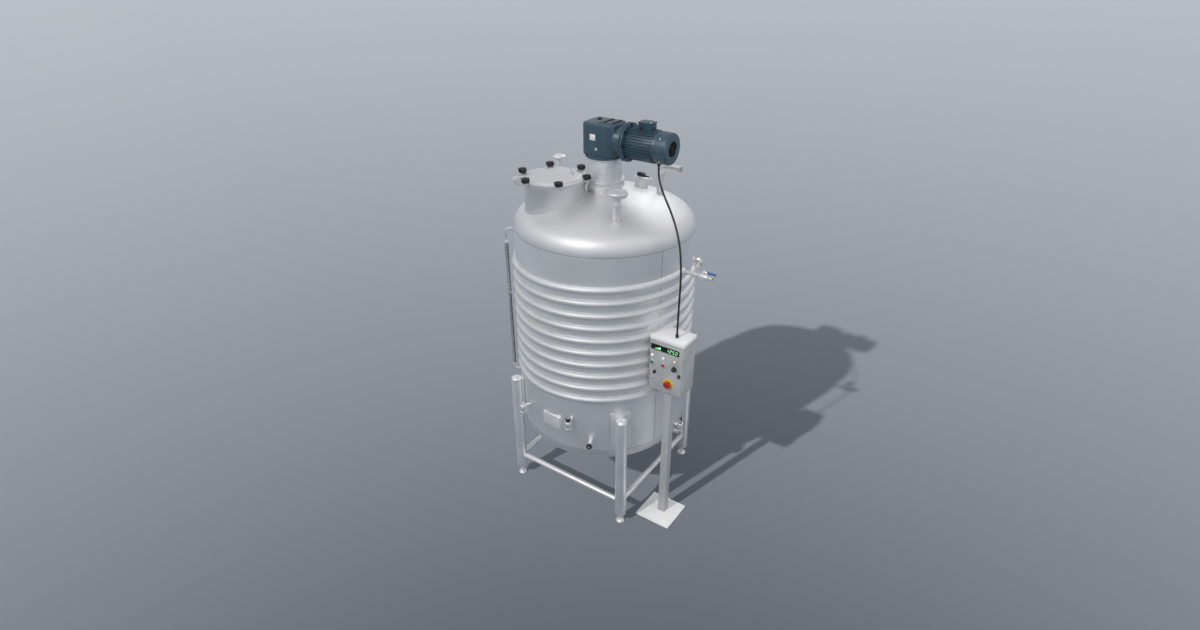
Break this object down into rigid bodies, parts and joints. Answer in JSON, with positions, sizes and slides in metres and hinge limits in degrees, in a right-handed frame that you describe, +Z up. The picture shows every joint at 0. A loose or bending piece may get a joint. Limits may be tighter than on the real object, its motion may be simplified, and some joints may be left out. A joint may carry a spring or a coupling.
{
  "type": "mixing tank",
  "caption": "Upright dished stainless mixing tank on legs, with half-pipe jacket coil, hinged manway, top-mounted geared agitator, dome nozzles, valves and a floor-standing control box.",
  "frame": {"origin": "on the floor, under the middle of the bounding box of the tank and its control stand, measured without the motor cable", "axes": "+Z up along the tank's axis; -Y towards the front, where the control panel and name plate face; +X towards the control stand and along the motor"},
  "size_m": [1.638, 1.448, 3.088],
  "materials": {
    "satin_steel": "satin stainless sheet",
    "polished_steel": "bright machined stainless",
    "gasket": "white food-grade rubber",
    "black_knob": "black moulded plastic",
    "blue_paint": "blue-grey enamel on cast iron",
    "motor_paint": "blue-grey enamel on cast aluminium",
    "clear_tube": "clear level tube",
    "name_plate": "blank plate",
    "box_paint": "light grey powder coat",
    "blue_handle": "blue sleeve",
    "dial_face": "white dial in a steel case",
    "needle": "black",
    "indicators": "display and lamps",
    "green_button": "green",
    "red_button": "red",
    "cable": "black rubber sheath"
  },
  "bodies": {
    "tank": {"tank_shell": "satin_steel", "top_head": "satin_steel", "bottom_head": "satin_steel", "jacket_coil": "satin_steel", "support_legs": "satin_steel", "leg_pads": "satin_steel", "leg_braces": "satin_steel", "levelling_feet": "polished_steel", "manway_neck": "satin_steel", "manway_gasket": "gasket", "lid_hinge_bracket": "satin_steel", "agitator_lantern": "polished_steel", "shaft_seal": "polished_steel", "steady_bearing": "satin_steel", "gear_housing": "blue_paint", "motor_adaptor": "blue_paint", "motor_frame": "motor_paint", "terminal_box": "motor_paint", "fan_cover": "motor_paint", "dome_nozzles": "satin_steel", "nozzle_caps": "satin_steel", "nozzle_clamp": "polished_steel", "lamp_head": "black_knob", "wash_pipe": "satin_steel", "level_gauge": "satin_steel", "name_plate": "name_plate", "jacket_pipes": "satin_steel", "pressure_gauge": "dial_face", "drain_valve": "satin_steel", "sample_valves": "satin_steel", "control_stand": "box_paint", "control_box": "box_paint", "box_lid": "box_paint", "cable_glands": "black_knob", "motor_cable": "cable"},
    "lid": {"manway_lid": "satin_steel"},
    "clamp_1": {"lid_clamp_1": "black_knob"},
    "clamp_2": {"lid_clamp_2": "black_knob"},
    "clamp_3": {"lid_clamp_3": "black_knob"},
    "clamp_4": {"lid_clamp_4": "black_knob"},
    "clamp_5": {"lid_clamp_5": "black_knob"},
    "clamp_6": {"lid_clamp_6": "black_knob"},
    "agitator": {"agitator_shaft": "polished_steel", "impellers": "polished_steel"},
    "rotor": {"motor_rotor": "satin_steel"},
    "wing_nut": {"clamp_wing_nut": "polished_steel"},
    "inlet_lever": {"inlet_handle": "blue_handle"},
    "drain_lever": {"drain_handle": "black_knob"},
    "sample_grip_1": {"sample_knob_1": "black_knob"},
    "sample_grip_2": {"sample_knob_2": "satin_steel"},
    "sample_grip_3": {"sample_knob_3": "black_knob"},
    "needle": {"gauge_needle": "needle"},
    "door": {"control_door": "box_paint", "door_indicators": "indicators"},
    "start": {"start_button": "green_button"},
    "stop": {"stop_button": "red_button"},
    "left_selector": {"selector_left": "black_knob"},
    "right_selector": {"selector_right": "black_knob"},
    "speed": {"speed_knob": "black_knob"},
    "estop": {"estop_button": "red_button"}
  },
  "joints": [
    {"name": "lid_hinge", "type": "hinge", "parent": "tank", "child": "lid", "pos_m": [-0.57279, -0.43575, 2.66629], "axis": [0.7071, -0.7071, 0], "range_deg": [0, 100]},
    {"name": "clamp_1_turn", "type": "hinge", "parent": "lid", "child": "clamp_1", "pos_m": [-0.43899, -0.47731, 2.6723], "axis": [0, 0, 1], "range_deg": [0, 90]},
    {"name": "clamp_2_turn", "type": "hinge", "parent": "lid", "child": "clamp_2", "pos_m": [-0.19944, -0.41312, 2.6723], "axis": [0, 0, 1], "range_deg": [0, 90]},
    {"name": "clamp_3_turn", "type": "hinge", "parent": "lid", "child": "clamp_3", "pos_m": [-0.13525, -0.17357, 2.6723], "axis": [0, 0, 1], "range_deg": [0, 90]},
    {"name": "clamp_4_turn", "type": "hinge", "parent": "lid", "child": "clamp_4", "pos_m": [-0.31061, 0.00179, 2.6723], "axis": [0, 0, 1], "range_deg": [0, 90]},
    {"name": "clamp_5_turn", "type": "hinge", "parent": "lid", "child": "clamp_5", "pos_m": [-0.55016, -0.0624, 2.6723], "axis": [0, 0, 1], "range_deg": [0, 90]},
    {"name": "clamp_6_turn", "type": "hinge", "parent": "lid", "child": "clamp_6", "pos_m": [-0.61435, -0.30195, 2.6723], "axis": [0, 0, 1], "range_deg": [0, 90]},
    {"name": "agitator_spin", "type": "hinge", "parent": "tank", "child": "agitator", "pos_m": [-0.116, 0.02104, 2.868], "axis": [0, 0, 1], "continuous": true},
    {"name": "rotor_spin", "type": "hinge", "parent": "tank", "child": "rotor", "pos_m": [0.103, 0.02104, 2.92999], "axis": [1, 0, 0], "continuous": true},
    {"name": "wing_nut_turn", "type": "hinge", "parent": "tank", "child": "wing_nut", "pos_m": [0.25478, -0.29574, 2.594], "axis": [1, 0, 0], "continuous": true},
    {"name": "inlet_lever_turn", "type": "hinge", "parent": "tank", "child": "inlet_lever", "pos_m": [0.727, 0.02104, 2.117], "axis": [0, 0, 1], "range_deg": [0, 90]},
    {"name": "drain_lever_turn", "type": "hinge", "parent": "tank", "child": "drain_lever", "pos_m": [0.60501, 0.05883, 0.726], "axis": [0, 0, 1], "range_deg": [-90, 0]},
    {"name": "sample_1_turn", "type": "hinge", "parent": "tank", "child": "sample_grip_1", "pos_m": [0.05001, -0.69804, 0.982], "axis": [0, 0, 1], "range_deg": [0, 270]},
    {"name": "sample_2_turn", "type": "hinge", "parent": "tank", "child": "sample_grip_2", "pos_m": [-0.45104, -0.63652, 0.892], "axis": [0, 0, 1], "range_deg": [0, 90]},
    {"name": "sample_3_turn", "type": "hinge", "parent": "tank", "child": "sample_grip_3", "pos_m": [0.21629, -0.66024, 0.79], "axis": [0.4384, -0.8988, 0], "range_deg": [0, 270]},
    {"name": "needle_turn", "type": "hinge", "parent": "tank", "child": "needle", "pos_m": [0.672, 0.01004, 2.173], "axis": [0, 1, 0], "range_deg": [-135, 135]},
    {"name": "door_hinge", "type": "hinge", "parent": "tank", "child": "door", "pos_m": [0.78803, -0.31246, 1.26], "axis": [0, 0, 1], "range_deg": [0, 110]},
    {"name": "start_press", "type": "slide", "parent": "door", "child": "start", "axis": [0, 1, 0], "range_m": [0, 0.004], "stiffness_N_per_m": 600, "springref_m": -0.002},
    {"name": "stop_press", "type": "slide", "parent": "door", "child": "stop", "axis": [0, 1, 0], "range_m": [0, 0.004], "stiffness_N_per_m": 600, "springref_m": -0.002},
    {"name": "estop_press", "type": "slide", "parent": "door", "child": "estop", "axis": [0, 1, 0], "range_m": [0, 0.004], "stiffness_N_per_m": 600, "springref_m": -0.002},
    {"name": "left_selector_turn", "type": "hinge", "parent": "door", "child": "left_selector", "pos_m": [0.56003, -0.31946, 1.412], "axis": [0, 1, 0], "range_deg": [-45, 45]},
    {"name": "right_selector_turn", "type": "hinge", "parent": "door", "child": "right_selector", "pos_m": [0.75803, -0.31946, 1.44], "axis": [0, 1, 0], "range_deg": [-45, 45]},
    {"name": "speed_turn", "type": "hinge", "parent": "door", "child": "speed", "pos_m": [0.71803, -0.31946, 1.486], "axis": [0, 1, 0], "range_deg": [-135, 135]}
  ],
  "couplings": [
    {"joint": "rotor_spin", "follows": "agitator_spin", "ratio": 20}
  ]
}
